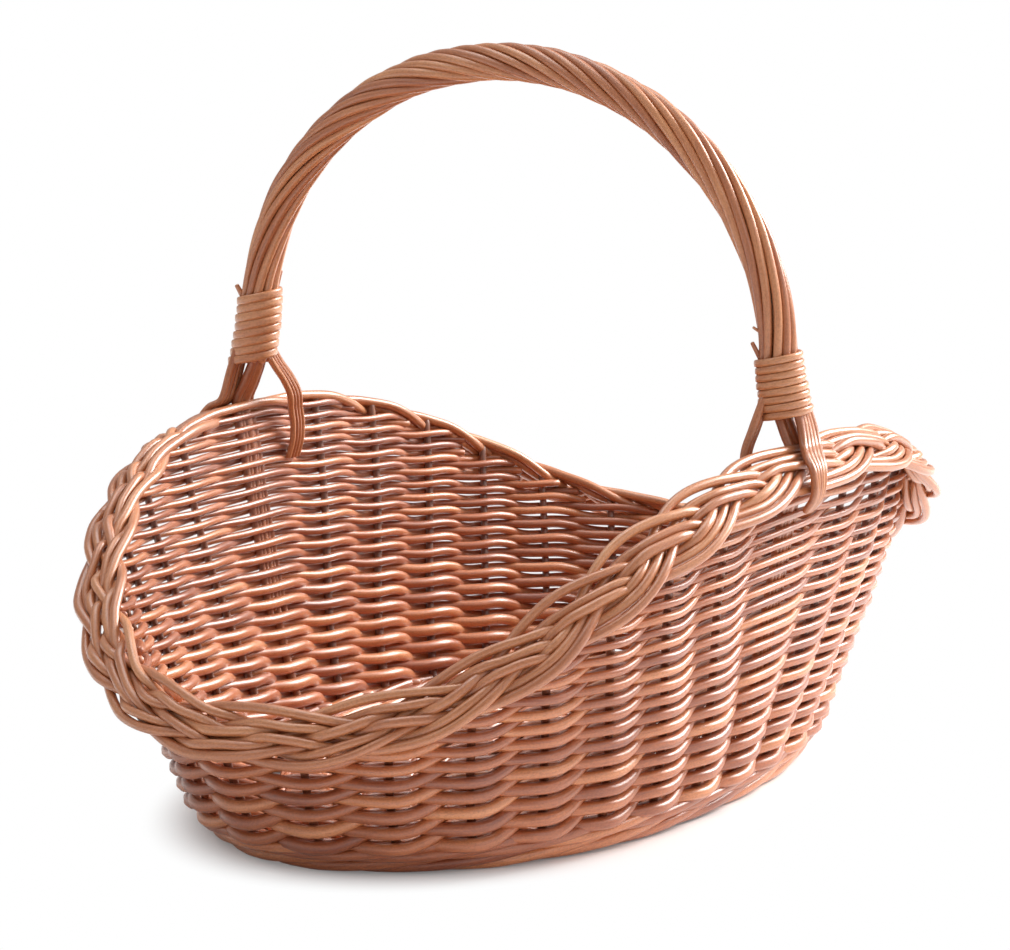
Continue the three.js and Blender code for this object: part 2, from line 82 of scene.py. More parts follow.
# Willow: dark, middle and pale colour of each material, and where they lie on a shade from 0 to 1
WILLOW_COLOURS = {
    "wall_willow": ((0.28, 0.062, 0.020), (0.55, 0.170, 0.060), (0.80, 0.330, 0.135)),
    "stake_willow": ((0.13, 0.035, 0.016), (0.25, 0.080, 0.035), (0.38, 0.150, 0.070)),
    "rod_willow": ((0.32, 0.082, 0.028), (0.54, 0.190, 0.072), (0.76, 0.345, 0.150)),
    "split_cane": ((0.34, 0.100, 0.038), (0.58, 0.225, 0.088), (0.78, 0.370, 0.165)),
}
COLOUR_PLACES = (0.12, 0.46, 0.80)

# Willow noises: how often each varies in a metre along a rod and across it, and its detail
BLOTCH = (22, 120, 3.0)
STREAK = (60, 900, 4.0)
FIBRE = (450, 4200, 2.0)
FLECK = (900, 1500, 2.0)
NOISE_ROUGHNESS = 0.55

# Willow shade: a rod's own tone, its blotches and its streaks
SHADE_START = 0.02
TONE_SHARE = 0.42
BLOTCH_SHARE = 0.42
STREAK_SHARE = 0.5

# Willow surface
FLECK_STRENGTH = 0.5
FLECK_PLACES = (0.35, 0.58)
FLECK_COLOURS = ((0.62, 0.50, 0.42), (1, 1, 1))
ROUGHNESS_RANGE = (0.24, 0.50)
STREAK_RELIEF = 0.7
FIBRE_RELIEF = 0.3
RELIEF_STRENGTH = 0.35
RELIEF_HEIGHT = 0.0004
GLOSS = {"Specular IOR Level": 0.7, "Coat Weight": 0.8, "Coat Roughness": 0.36}

# How the size of each kind of rod drifts: by what share, and over what length in metres or of the rope
DRIFTS = {
    "weaver": (0.05, 0.11),
    "stake": (0.03, 0.06),
    "wale": (0.07, 0.15),
    "wale_lay": (0.06, 0.20),
    "border": (0.10, 0.25),
    "rope": (0.06, 0.50),
    "rope_path": (0.035, 0.30),
    "foot_rod": (0.04, 0.08),
    "tail": (0.05, 0.05),
    "mat": (0.06, 0.10),
    "stick": (0.04, 0.07),
}

# How far each kind strays from its line in metres, or in its turn, and over what length
STRAYS = {
    "weaver": (0.0003, 0.09),
    "border": (0.0012, 0.17),
    "rope_turn": (0.06, 0.35),
    "cane": (0.0003, 0.09),
}

# Least and greatest size of single rods, as a share of the usual one
SIZE_RANGES = {"weaver": (0.94, 1.05), "border": (0.88, 1.02), "rope": (0.95, 1.06)}

# Drifting values are sums of waves: the height of each, and its length as a share of the longest
WAVES = ((0.55, 1), (0.3, 0.47), (0.15, 0.21))

# Rod ends: two smaller rings and a tip round each end off, measured in the rod's radius
END_SCALE = (0.62, 0.9)
END_REACH = (0.45, 0.2)
TIP_REACH = 0.1
GRAIN_SPREAD = 40
CURVE_STEPS = 24
ROD_SAMPLES = 44

# Oval wall, in metres
BASE_HALF_LENGTH = 0.164
BASE_HALF_WIDTH = 0.104
OVAL_SQUARENESS = 2.15
END_FLARE = 0.060
SIDE_FLARE = 0.030
END_FLARE_POWER = 0.42
SIDE_FLARE_POWER = 0.6
FLARE_HEIGHT = 0.092
FLARE_START = 0.004
ANGLE_STEP = 0.02
HEIGHT_STEP = 0.0005

# Corners of the oval: squarer towards the rim, and squarest at one of them
RIM_SQUARENESS = 0.55
SQUARE_START = 0.020
SQUARE_END = 0.130
SQUAREST_CORNER = math.radians(-40)
CORNER_LEAN = 0.2
RIM_CORNER_LEAN = 0.1

# Rim line: high at the two handle feet, low at the two ends
RIM_MEAN = 0.1165
RIM_SADDLE = 0.0425
RIM_TILT = 0.006
RIM_SHOULDER = 0.005
RIM_GAP = 0.001

# Stakes, evenly spaced at one height, with the handle's feet in the place of two
STAKE_COUNT = 30
LEFT_FOOT = 0
RIGHT_FOOT = 15
SPACING_HEIGHT = 0.0135
SPACE_LENGTH = 0.036
STAKE_RADIUS = 0.0021
STAKE_TAPER = (1.05, 0.86)
STAKE_FOOT_LENGTH = 0.020
STAKE_UPRIGHT = 0.017
STICK_HEIGHT = 0.0065

# Wall weave: rods are thick at the foot and thin under the high parts of the rim
WALL_PIECES = 7
WEAVE_BOTTOM = 0.0150
WEAVE_BELOW_RIM = 0.0035
WEAVER_FOOT_RADIUS = 0.00255
WEAVER_HIGH_RADIUS = 0.00155
WEAVER_THIN_HEIGHT = 0.150
WEAVER_TAPER_POWER = 0.8
ROW_CLOSENESS = 0.92
ROW_ROUND_UP = 0.4
FOOT_FULLNESS = 0.24
FULL_BELOW = 0.030
SLIM_ABOVE = 0.130
ROD_LEAD = 0.62
SURE_LEAD = 0.2
WEAVER_STEEPNESS = 0.14
WEAVER_SWING = 0.90
LEG_SWING = 0.25
LEG_SWING_REACH = (0.3, 0.8)
STEPS_PER_SPACE = 10

# Foot wale: two ropes of rods laid round the edge of the base, the upper one out on the flaring wall
WALE_ROPES = (
    {"height": 0.0060, "wall": 0.0010, "out": 0.0022, "radius": 0.0029, "lay": 0.0030},
    {"height": 0.0122, "wall": 0.0100, "out": 0.0016, "radius": 0.0025, "lay": 0.0029},
)
WALE_STRANDS = 4
WALE_SPACES = 5
WALE_OVERLAP = 0.4
WALE_SQUEEZE = 0.85
WALE_STEPS = 9

# Plaited border
PLAIT_STRANDS = 3
PLAIT_RODS = 3
PLAIT_REPEATS = 9
PLAIT_SPACES = STAKE_COUNT / PLAIT_REPEATS
PLAIT_SHIFT = 0.226
PLAIT_SPREAD = 0.0088
PLAIT_LIFT = 0.0042
PLAIT_SKEW = 0.50
PLAIT_OUT = 0.008
PLAIT_DROP = 0.003
PLAIT_TILT = math.radians(36)
PLAIT_ROD_RADIUS = 0.0023
PLAIT_ROD_PITCH = 2.04 * PLAIT_ROD_RADIUS
PLAIT_SPACING = 0.040
PLAIT_STEPS = 12
PLAIT_RING = STAKE_COUNT * PLAIT_SPACING

# Stretches where the border differs, each with its middle and its reach in stake spaces
STRETCHES = {
    "near_end": (6.8, 3.4),
    "front": (11.6, 2.4),
    "left_side": (2.6, 2.2),
    "far_side": (28.2, 2.4),
}

# The border hangs lower and looser round the near end, and single rods stand up along the front
NEAR_END_TILT = math.radians(26)
NEAR_END_DROP = 0.0020
NEAR_END_SPREAD = -0.0042
NEAR_END_OUT = 0.0022
NEAR_END_OPEN = 0.16
NEAR_END_SKEW = 0.05
LOOSE_INWARD = 0.0055
LOOSE_LIFT = 0.0050
LOOSE_OUTWARD = 0.0012
LOOSE_AT_NEAR_END = 0.7
LOOSE_AT_FRONT = 0.5

# The near side of the border lies flatter and further in beside the left foot, the far side lower
LEFT_SIDE_TILT = math.radians(-27)
LEFT_SIDE_INWARD = 0.0042
FAR_SIDE_DROP = 0.006

# Easing the border's rods apart
EASE_ROUNDS = 60
EASE_REACH = 5
EASE_PUSH = 0.16
EASE_SIDEWAYS = 0.5
EASE_FLATTENING = 0.988
EASE_SHARED = 0.25
EASE_SMOOTHING = 0.08

# Handle: a thick bow with a rope of rods laid round it
LIMB_INSET = 0.009
LIMB_STRAIGHT = 0.041
ARCH_RISE = 0.1295
ARCH_SAMPLES = 200
HANDLE_SAMPLES = 240
BOW_RADIUS = 0.004
ROPE_RODS = 10
ROPE_PIECES = 6
ROPE_ROD_RADIUS = 0.00205
ROPE_PATH_RADIUS = 0.0067
ROPE_TURNS = 2.3
ROPE_TOP_TWIST = 0.09
ROPE_END_HIDDEN = 0.004

# Handle feet: the bow's leg and thinner rods beside it go down through the border into the wall
LEG_RADIUS = 0.0036
LEG_WALL_RADIUS = 0.0021
LEG_BOTTOM = 0.006
FOOT_ROD_SHIFTS = (-0.0060, -0.0030, 0.0030, 0.0060)
FOOT_ROD_RADIUS = 0.0022
FOOT_ROD_WALL_RADII = (0.0016, 0.0019)
FOOT_ROD_BOTTOMS = (0.058, 0.070)
FOOT_ROD_SAMPLES = 50
FOOT_WALL_TOP = -0.018
FOOT_THICKENING = (-0.040, -0.006)
FOOT_ROUTE = ((0.95, 0.0100, 0.001), (0.80, 0.0055, 0.012), (0.65, 0.0010, 0.023), (0.50, 0.0, 0.034))

# Bindings: a strip of split willow wound round each foot of the rope, which leans outwards low down
BINDINGS = {
    "left": {"side": 1, "above_rim": 0.020, "length": 0.038, "spread": 0.0008},
    "right": {"side": -1, "above_rim": 0.017, "length": 0.031, "spread": 0.0012},
}
FOOT_LEAN = 0.005
LEAN_BOTTOM = 0.012
LEAN_TOP = 0.048
BINDING_TURNS = 8
CANE_STEPS = 22
CANE_START = 0.6
CANE_THICKNESS = 0.0024
CANE_SINK = 0.0002
CANE_SHARE = 0.45
CANE_LEAN = 0.0016
CANE_CORNER_STEPS = 5

# Cut rod ends above the bindings: foot, tip and radius of each, from the rope's middle at the top turn
CUT_ENDS = {
    "left": (
        ((0.0035, -0.0068, -0.004), (0.0060, -0.0088, 0.0075), 0.0013),
        ((0.0050, -0.0058, -0.004), (0.0074, -0.0066, 0.0050), 0.0011),
        ((-0.0042, 0.0066, -0.004), (-0.0054, 0.0088, 0.0006), 0.0014),
    ),
    "right": (
        ((-0.0044, 0.0066, -0.004), (-0.0070, 0.0096, 0.0035), 0.0012),
        ((-0.0044, 0.0066, 0.008), (-0.0066, 0.0094, 0.0105), 0.0008),
    ),
}

# Rope tails: rods side by side from the binding down, beside the limb and then over the plait or the wall
TAILS = {
    "right_outer": {
        "side": -1, "rods": 5, "radius": 0.0020, "spacings": (0.0022, 0.0036, 0.0012),
        "limb": ((0.0015, 0.009, 0.027), (0.0025, 0.0125, 0.017)),
        "plait": (
            (-0.001, -0.006, 0.008), (-0.008, 0.0, 0.008), (-0.0135, 0.007, 0.007),
            (-0.0165, 0.0142, -0.0005), (-0.0175, 0.015, -0.009),
        ),
    },
    "right_inner": {
        "side": -1, "rods": 2, "radius": 0.0021, "spacings": (0.0036, 0.0036, 0.0030),
        "limb": ((-0.0065, -0.003, 0.027), (-0.012, -0.0055, 0.014), (-0.0175, -0.007, 0.001)),
        "wall": ((-0.020, -0.009, -0.022), (-0.020, -0.004, -0.040)),
    },
    "left_outer": {
        "side": 1, "rods": 4, "radius": 0.0019, "spacings": (0.0026, 0.0034, 0.0040),
        "limb": ((-0.005, 0.007, 0.028), (-0.0065, 0.0095, 0.018)),
        "plait": (
            (-0.009, -0.0085, 0.008), (-0.012, -0.002, 0.0072), (-0.014, 0.0035, 0.004),
            (-0.015, 0.0065, -0.003),
        ),
    },
    "left_inner": {
        "side": 1, "rods": 4, "radius": 0.0017, "spacings": (0.0020, 0.0026, 0.0027),
        "limb": (
            (0.003, -0.0005, 0.032), (0.009, -0.004, 0.0205), (0.016, -0.0055, 0.012),
            (0.022, -0.0055, 0.004), (0.026, -0.0035, -0.004),
        ),
        "wall": ((0.0285, -0.010, -0.013), (0.029, -0.008, -0.021), (0.0285, -0.0045, -0.029)),
    },
}
TAIL_TAPER = (1.05, 0.82)
TAIL_SPACING_PLACES = (0, 0.4, 1)

# Base: crossed sticks and short spokes with a mat of rods woven round them in pairs
BASE_EDGE_INSET = 0.0036
BASE_RING_PITCH = 0.0036
BASE_ROD_RADIUS = 0.0019
BASE_SWING = 0.0040
BASE_MIDDLE_GAP = 0.009
BASE_SAMPLES = 2880
RING_STEPS = 9
RING_EXTRA_STEPS = 4
CROSSING_LENGTH = 0.03
SPOKE_PLACES = (3.0, 4.5, 6.0)
SPOKE_EDGE_GAP = 0.003
SPOKE_MIDDLE_GAP = 0.012
SPOKE_RADII = (0.0018, 0.0015)
SPOKE_SAMPLES = 14
CROSS_STICK_PLACES = (-1.5, -0.5, 0.5, 1.5)
CROSS_STICK_RADIUS = 0.0024
LONG_STICK_COUNT = 3
LONG_STICK_RADIUS = 0.0018
LONG_STICK_PITCH = 0.0052
STICK_EDGE_GAP = 0.002


# Vectors and curves

def unit(vectors):
    return vectors / np.linalg.norm(vectors, axis=-1, keepdims=True)


def smoothstep(value, low, high):
    share = np.clip((value - low) / (high - low), 0, 1)
    return share * share * (3 - 2 * share)


def signed_power(value, power):
    return np.sign(value) * np.abs(value) ** power


def run_lengths(points):
    """How far each point lies along its line."""
    strides = np.linalg.norm(np.diff(points, axis=0), axis=1)
    return np.concatenate([[0], np.cumsum(strides)])


def evenly(points, samples):
    """The same line with a given number of points, evenly spaced."""
    length = run_lengths(points)
    wanted = np.linspace(0, length[-1], samples)
    return np.stack([np.interp(wanted, length, points[:, k]) for k in range(3)], axis=1)


def curve_through(points, samples):
    """Points of a smooth curve through a few chosen points, evenly spaced along it."""
    points = np.asarray(points, float)
    padded = np.vstack([2 * points[0] - points[1], points, 2 * points[-1] - points[-2]])
    t = np.linspace(0, 1, CURVE_STEPS, endpoint=False)[:, None]
    pieces = []
    for i in range(len(points) - 1):
        before, start, end, after = padded[i:i + 4]
        pieces.append(0.5 * (
            2 * start + (end - before) * t
            + (2 * before - 5 * start + 4 * end - after) * t ** 2
            + (3 * start - before - 3 * end + after) * t ** 3
        ))
    return evenly(np.vstack(pieces + [points[-1:]]), samples)


def wander(along, wavelength):
    """A smooth value between about -1 and 1 that drifts along a rod."""
    phases = RANDOM.uniform(0, TURN, len(WAVES))
    return sum(height * np.sin(TURN * along / (wavelength * length) + phase)
               for (height, length), phase in zip(WAVES, phases))


def uneven(size, along, kind):
    """A rod's size, drifting along it as its kind does."""
    share, wavelength = DRIFTS[kind]
    return size * (1 + share * wander(along, wavelength))


def stray(along, kind):
    """How far a rod strays from its line along its length."""
    distance, wavelength = STRAYS[kind]
    return distance * wander(along, wavelength)


# Wall surface

HANDLE_X = sum(corner.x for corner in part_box("handle_bow")) / 2
HANDLE_Y = sum(corner.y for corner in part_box("handle_bow")) / 2


def squareness(angle, height):
    rise = smoothstep(height, SQUARE_START, SQUARE_END)
    lean = CORNER_LEAN + RIM_CORNER_LEAN * rise
    return OVAL_SQUARENESS + RIM_SQUARENESS * rise + lean * np.cos(angle - SQUAREST_CORNER)


def wall_point(angle, height):
    """A point on the wall's middle surface, at an angle round the oval and a height."""
    angle, height = np.broadcast_arrays(np.asarray(angle, float), np.asarray(height, float))
    rise = np.maximum(height + FLARE_START, 0) / FLARE_HEIGHT
    half_length = BASE_HALF_LENGTH + END_FLARE * rise ** END_FLARE_POWER
    half_width = BASE_HALF_WIDTH + SIDE_FLARE * rise ** SIDE_FLARE_POWER
    power = 2 / squareness(angle, height)
    x = HANDLE_X + half_length * signed_power(np.cos(angle), power)
    y = HANDLE_Y + half_width * signed_power(np.sin(angle), power)
    return np.stack([x, y, height], axis=-1)


def wall_run(angle, height):
    """A short step along the wall."""
    return wall_point(angle + ANGLE_STEP, height) - wall_point(angle - ANGLE_STEP, height)


def wall_outward(angle, height):
    """Level outward direction."""
    return unit(np.cross(wall_run(angle, height), UP))


def wall_normal(angle, height):
    """Outward direction square to the wall, which leans outwards as it rises."""
    rise = wall_point(angle, height + HEIGHT_STEP) - wall_point(angle, height - HEIGHT_STEP)
    return unit(np.cross(wall_run(angle, height), rise))


def rim_height(angle):
    return (RIM_MEAN - RIM_SADDLE * np.cos(2 * angle) + RIM_TILT * np.cos(angle)
            + RIM_SHOULDER * np.cos(4 * angle))


def spacing_table():
    """Oval angle against place: equal stake spacings on each side, counted from the left handle foot."""
    half_steps = 720
    angle = TURN / 4 + np.linspace(0, TURN, 2 * half_steps + 1)
    length = run_lengths(wall_point(angle, SPACING_HEIGHT))
    near_half = length[half_steps]
    far_half = length[-1] - near_half
    share = np.where(length <= near_half, length / near_half, 1 + (length - near_half) / far_half)
    return angle, share * STAKE_COUNT / 2


TABLE_ANGLE, TABLE_PLACE = spacing_table()


def place_angle(place):
    """Oval angle at a place, which is counted in stake spaces from the left handle foot."""
    place = np.asarray(place, float)
    turns = np.floor(place / STAKE_COUNT)
    return np.interp(place - turns * STAKE_COUNT, TABLE_PLACE, TABLE_ANGLE) + turns * TURN


FOOT_RIM = float(rim_height(TURN / 4))
LIMB_HALF_SPACING = float(wall_point(TURN / 4, FOOT_RIM)[1]) - HANDLE_Y - LIMB_INSET
ARCH_FOOT = FOOT_RIM + LIMB_STRAIGHT


# Rods as meshes

def round_section(sides):
    turn = np.arange(sides) / sides * TURN
    return np.stack([np.cos(turn), np.sin(turn)], axis=1)


def flat_section(half_width, half_thickness, corner_steps):
    """A strip with round edges: first coordinate is its thickness, second its width."""
    flat = half_width - half_thickness
    turns = np.linspace(-TURN / 4, TURN / 4, corner_steps + 2)
    right = [(half_thickness * math.sin(t), flat + half_thickness * math.cos(t)) for t in turns]
    left = [(-x, -y) for x, y in right]
    return np.array(left + right)[::-1]


def rod_faces(count, sides):
    """Faces of a rod with this many rings: quads along it, and triangles to the tip at each end."""
    row = np.arange(count - 1)[:, None] * sides
    column = np.arange(sides)
    following = (column + 1) % sides
    corners = [row + column, row + following, row + sides + following, row + sides + column]
    start_tip = np.full(sides, count * sides)
    end_tip = start_tip + 1
    last = (count - 1) * sides
    caps = np.vstack([
        np.stack([start_tip, following, column], axis=1),
        np.stack([end_tip, last + column, last + following], axis=1),
    ])
    return np.stack(corners, axis=-1).reshape(-1, 4), caps


def sweep(points, radius, facing, tone=None, section=None, sides=8):
    """A rod along points: each ring's first axis is as near to facing as it can be, both ends rounded."""
    section = round_section(sides) if section is None else section
    roundness = np.abs(section[:, 0]).max()
    points = np.asarray(points, float)
    radius = np.broadcast_to(np.asarray(radius, float), (len(points),))
    facing = np.broadcast_to(np.asarray(facing, float), points.shape)
    tangent = unit(np.gradient(points, axis=0))

    end_scale = np.array(END_SCALE)
    end_reach = np.array(END_REACH) * roundness
    points = np.vstack([
        points[0] - tangent[0] * end_reach[:, None] * radius[0],
        points,
        points[-1] + tangent[-1] * end_reach[::-1, None] * radius[-1],
    ])
    scale = np.concatenate([radius[0] * end_scale, radius, radius[-1] * end_scale[::-1]])
    tangent = np.pad(tangent, ((2, 2), (0, 0)), mode="edge")
    facing = np.pad(facing, ((2, 2), (0, 0)), mode="edge")

    first = unit(facing - (facing * tangent).sum(1, keepdims=True) * tangent)
    second = np.cross(tangent, first)
    across = section[None, :, :1] * first[:, None] + section[None, :, 1:] * second[:, None]
    rings = points[:, None] + scale[:, None, None] * across
    tip = TIP_REACH * roundness
    verts = np.vstack([
        rings.reshape(-1, 3),
        points[:1] - tangent[:1] * tip * scale[0],
        points[-1:] + tangent[-1:] * tip * scale[-1],
    ])

    along = run_lengths(points)
    grain = np.stack([
        np.broadcast_to(along[:, None], (len(points), len(section))),
        scale[:, None] * section[None, :, 0],
        scale[:, None] * section[None, :, 1],
    ], axis=-1)
    grain = np.vstack([grain.reshape(-1, 3), [[0, 0, 0]], [[along[-1], 0, 0]]])
    grain = grain + RANDOM.uniform(0, GRAIN_SPREAD, 3)
    tone = RANDOM.uniform(0, 1) if tone is None else tone
    quads, caps = rod_faces(len(points), len(section))
    return {"verts": verts, "quads": quads, "caps": caps, "grain": grain, "tone": np.full(len(verts), tone)}


def add_object(name, data):
    added = bpy.data.objects.new(name, data)
    bpy.context.scene.collection.objects.link(added)
    return added


def mesh_from(name, parts):
    """One mesh object from several rods, with each rod's grain place and tone kept as attributes."""
    offsets = np.cumsum([0] + [len(part["verts"]) for part in parts])

    def gathered(key):
        return np.concatenate([part[key] for part in parts]).astype(np.float32).ravel()

    def faces(key):
        return np.vstack([part[key] + offset for part, offset in zip(parts, offsets)])

    quads = faces("quads")
    caps = faces("caps")
    corners = np.concatenate([quads.ravel(), caps.ravel()])
    starts = np.concatenate([np.arange(len(quads)) * 4, quads.size + np.arange(len(caps)) * 3])
    mesh = bpy.data.meshes.new(name)
    mesh.vertices.add(int(offsets[-1]))
    mesh.vertices.foreach_set("co", gathered("verts"))
    mesh.loops.add(len(corners))
    mesh.loops.foreach_set("vertex_index", corners.astype(np.int32))
    mesh.polygons.add(len(starts))
    mesh.polygons.foreach_set("loop_start", starts.astype(np.int32))
    mesh.polygons.foreach_set("use_smooth", np.ones(len(starts), bool))
    mesh.attributes.new("grain", "FLOAT_VECTOR", "POINT").data.foreach_set("vector", gathered("grain"))
    mesh.attributes.new("tone", "FLOAT", "POINT").data.foreach_set("value", gathered("tone"))
    mesh.update(calc_edges=True)
    mesh.validate()
    return add_object(name, mesh)


# Shader nodes

def feed(tree, node, inputs):
    """Gives inputs of a node their values, or links them to outputs of other nodes."""
    for socket, value in inputs.items():
        if isinstance(value, bpy.types.NodeSocket):
            tree.links.new(value, node.inputs[socket])
        else:
            node.inputs[socket].default_value = value


def add_node(tree, kind, inputs=None, **settings):
    node = tree.nodes.new("ShaderNode" + kind)
    for key, value in settings.items():
        setattr(node, key, value)
    feed(tree, node, inputs or {})
    return node


# Willow materials

def willow(name, colours):
    """Round willow rod: its own tone, long soft streaks, fine fibres and a satin surface."""
    material = bpy.data.materials.new(name)
    material.use_nodes = True
    tree = material.node_tree
    grain = add_node(tree, "Attribute", attribute_name="grain").outputs["Vector"]
    tone = add_node(tree, "Attribute", attribute_name="tone").outputs["Fac"]

    def noise(scale_along, scale_across, detail):
        scale = (scale_along, scale_across, scale_across)
        place = add_node(tree, "Mapping", {"Vector": grain, "Scale": scale}).outputs["Vector"]
        inputs = {"Vector": place, "Scale": 1.0, "Detail": detail, "Roughness": NOISE_ROUGHNESS}
        return add_node(tree, "TexNoise", inputs).outputs["Fac"]

    def combined(operation, *values):
        return add_node(tree, "Math", dict(enumerate(values)), operation=operation).outputs["Value"]

    def ramp(value, places, colours):
        made = add_node(tree, "ValToRGB", {"Fac": value})
        elements = made.color_ramp.elements
        for _ in places[2:]:
            elements.new(0.5)
        for element, place, colour in zip(elements, places, colours):
            element.position = place
            element.color = (*colour, 1)
        return made.outputs["Color"]

    blotch = noise(*BLOTCH)
    streak = noise(*STREAK)
    fibre = noise(*FIBRE)
    fleck = noise(*FLECK)

    shade = combined("MULTIPLY_ADD", tone, TONE_SHARE, SHADE_START)
    shade = combined("ADD", shade, combined("MULTIPLY", blotch, BLOTCH_SHARE))
    shade = combined("ADD", shade, combined("MULTIPLY", combined("SUBTRACT", streak, 0.5), STREAK_SHARE))
    flecked = {
        "Factor": FLECK_STRENGTH,
        "A": ramp(shade, COLOUR_PLACES, colours),
        "B": ramp(fleck, FLECK_PLACES, FLECK_COLOURS),
    }
    colour = add_node(tree, "Mix", flecked, data_type="RGBA", blend_type="MULTIPLY")

    low, high = ROUGHNESS_RANGE
    rough = add_node(tree, "MapRange", {"To Min": low, "To Max": high, "Value": streak})
    streak_relief = combined("MULTIPLY", streak, STREAK_RELIEF)
    fibre_relief = combined("MULTIPLY", fibre, FIBRE_RELIEF)
    relief = combined("ADD", streak_relief, fibre_relief)
    bump = add_node(tree, "Bump", {"Strength": RELIEF_STRENGTH, "Distance": RELIEF_HEIGHT, "Height": relief})
    surface = {
        "Base Color": colour.outputs["Result"],
        "Roughness": rough.outputs["Result"],
        "Normal": bump.outputs["Normal"],
    }
    feed(tree, tree.nodes["Principled BSDF"], surface | GLOSS)
    return material


MATERIALS = {slot: willow(slot, colours) for slot, colours in WILLOW_COLOURS.items()}


def add_piece(name, parts, slot, node):
    """A piece made of rods, which stands for a CAD node."""
    piece = mesh_from(name, parts)
    piece.data.materials.append(MATERIALS[slot])
    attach(piece, BODY)
    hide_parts(node)


# Wall weave

def weaver_radius(height):
    share = np.clip((height - WEAVE_BOTTOM) / (WEAVER_THIN_HEIGHT - WEAVE_BOTTOM), 0, 1)
    return WEAVER_FOOT_RADIUS + (WEAVER_HIGH_RADIUS - WEAVER_FOOT_RADIUS) * share ** WEAVER_TAPER_POWER


def wall_profile(place):
    """Heights up the wall at one stake, and how many rows of weavers fit below each of them."""
    angle = place_angle(place)
    heights = np.linspace(WEAVE_BOTTOM, rim_height(angle) - WEAVE_BELOW_RIM, 160)
    length = run_lengths(wall_point(angle, heights))
    pitch = 2 * ROW_CLOSENESS * weaver_radius(heights)
    rows = np.concatenate([[0], np.cumsum(np.diff(length) * 2 / (pitch[1:] + pitch[:-1]))])
    return heights, rows


PROFILES = [wall_profile(place) for place in range(STAKE_COUNT)]
ROWS = [int(rows[-1] + ROW_ROUND_UP) for _, rows in PROFILES]


def row_height(place, row):
    """Height of a row at a stake, carried on in step below the first row and above the last."""
    heights, rows = PROFILES[place % STAKE_COUNT]
    wanted = row + 0.5
    above = max(wanted - rows[-1], 0) * 2 * ROW_CLOSENESS * weaver_radius(heights[-1])
    below = max(-wanted, 0) * 2 * ROW_CLOSENESS * WEAVER_FOOT_RADIUS
    return float(np.interp(wanted, rows, heights) + above - below)


def weaver_runs():
    """Every weaver as its first stake and row and its count of stakes: one row higher at each stake."""
    runs = []
    for place in range(STAKE_COUNT):
        for row in range(ROWS[place]):
            carried_on = 0 < row <= ROWS[place - 1]
            if carried_on:
                continue
            count = 1
            while row + count < ROWS[(place + count) % STAKE_COUNT]:
                count += 1
            runs.append((place, row, count))
    return runs


def weaver_swing(place, along):
    """From 1 to -1 and back at each stake, and fuller on both sides of the handle's thick legs."""
    quarter = STAKE_COUNT / 4
    leg_distance = np.abs((place + along + quarter) % (2 * quarter) - quarter)
    at_leg = 1 - smoothstep(leg_distance, *LEG_SWING_REACH)
    swing = np.cos(math.pi * along)
    return swing * (1 + LEG_SWING * at_leg * (1 - swing ** 2))


def weaver(place, row, count):
    """One weaver: outside a stake where its row is even, inside where it is odd, up to under the border."""
    steps = int(round((count - 1 + 2 * ROD_LEAD) * STEPS_PER_SPACE)) + 1
    along = np.linspace(-ROD_LEAD, count - 1 + ROD_LEAD, steps)
    level = along - WEAVER_STEEPNESS * np.sin(TURN * along)
    stops = range(-1, count + 1)
    height = np.interp(level, stops, [row_height(place + i, row + i) for i in stops])
    height = height + stray(along * SPACE_LENGTH, "weaver")
    angle = place_angle(place + along)
    kept = height < rim_height(angle) - RIM_GAP
    kept[(along > -SURE_LEAD) & (along < count - 1 + SURE_LEAD)] = True
    along, height, angle = along[kept], height[kept], angle[kept]
    fullness = 1 + FOOT_FULLNESS * (1 - smoothstep(height, FULL_BELOW, SLIM_ABOVE))
    radius = weaver_radius(height) * fullness * RANDOM.uniform(*SIZE_RANGES["weaver"])
    radius = uneven(radius, along * SPACE_LENGTH, "weaver")
    sign = 1 if row % 2 == 0 else -1
    offset = sign * weaver_swing(place, along) * WEAVER_SWING * (STAKE_RADIUS + radius)
    normal = wall_normal(angle, height)
    return sweep(wall_point(angle, height) + normal * offset[:, None], radius, normal)


def build_wall():
    """The weavers in seven pieces, by the part of the wall that they start in."""
    pieces = [[] for _ in range(WALL_PIECES)]
    for place, row, count in weaver_runs():
        pieces[place * WALL_PIECES // STAKE_COUNT].append(weaver(place, row, count))
    for number, parts in enumerate(pieces, 1):
        add_piece(f"wall_weavers_{number}", parts, "wall_willow", f"wall_weave_band_{number}")


# Stakes

def stake_path(place):
    """From inside the base, round the bend at its edge and up the wall to the border."""
    angle = float(place_angle(place))
    outward = wall_outward(angle, 0.0)
    foot = wall_point(angle, 0.0) - outward * STAKE_FOOT_LENGTH
    foot[2] = STICK_HEIGHT
    bend = wall_point(angle, STICK_HEIGHT) - outward * STAKE_RADIUS
    heights = np.linspace(STAKE_UPRIGHT, rim_height(angle) - RIM_GAP, 6)
    up = [wall_point(angle, height) for height in heights]
    return curve_through([foot, (foot + bend) / 2, bend, *up], ROD_SAMPLES)


def build_stakes():
    for place in range(STAKE_COUNT):
        if place in (LEFT_FOOT, RIGHT_FOOT):
            continue
        path = stake_path(place)
        taper = np.linspace(*STAKE_TAPER, ROD_SAMPLES)
        radius = uneven(STAKE_RADIUS * taper, run_lengths(path), "stake")
        facing = np.cross(wall_outward(float(place_angle(place)), 0.0), UP)
        parts = [sweep(path, radius, facing)]
        add_piece(f"side_stake_rod_{place:02d}", parts, "stake_willow", f"side_stake_{place:02d}")


# Foot wale

